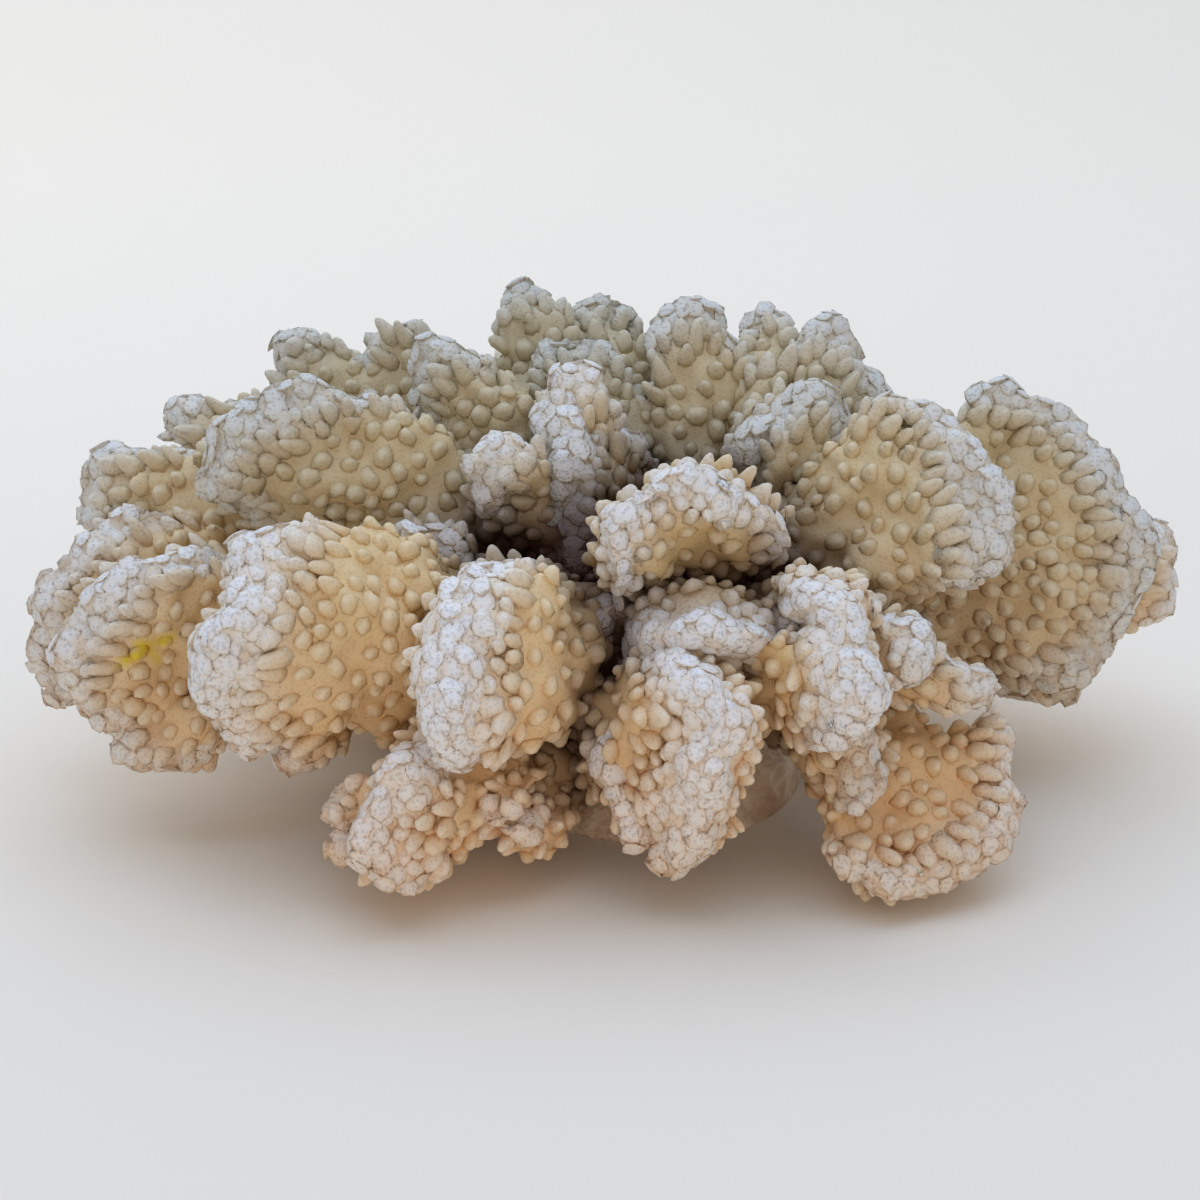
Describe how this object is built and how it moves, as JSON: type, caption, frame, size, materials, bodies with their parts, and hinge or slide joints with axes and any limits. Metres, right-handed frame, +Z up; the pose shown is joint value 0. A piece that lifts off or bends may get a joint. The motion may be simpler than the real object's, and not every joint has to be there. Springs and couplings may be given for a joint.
{
  "type": "cauliflower coral",
  "caption": "Dried branching coral colony: a short trunk cut off flat, forking into flattened warty lobes on all sides.",
  "frame": {"origin": "on the flat cut under the trunk, near the middle of the colony", "axes": "+Z up from the flat cut, +X to the right of the pictured side along the colony's length, -Y towards the viewer"},
  "size_m": [0.2957, 0.1996, 0.1188],
  "materials": {
    "skeleton": "matte",
    "stained_base": "matte"
  },
  "bodies": {
    "root": {"trunk": "stained_base", "front_left_branch": "skeleton", "front_left_foot": "skeleton", "front_low_branch": "skeleton", "front_middle_branch": "skeleton", "left_front_branch": "skeleton", "left_low_fan": "skeleton", "left_outer_fan": "skeleton", "left_upper_fan": "skeleton", "left_high_fan": "skeleton", "middle_crown": "skeleton", "back_left_crown": "skeleton", "back_crown": "skeleton", "back_right_crown": "skeleton", "right_high_branch": "skeleton", "right_fan": "skeleton", "right_outer_fan": "skeleton", "right_low_arm": "skeleton", "right_foot": "skeleton", "right_front_knob": "skeleton", "rear_left_branch": "skeleton", "rear_middle_left_branch": "skeleton", "rear_middle_right_branch": "skeleton", "rear_right_branch": "skeleton", "rear_low_left_branch": "skeleton", "rear_low_middle_branch": "skeleton", "rear_low_right_branch": "skeleton"}
  },
  "joints": []
}
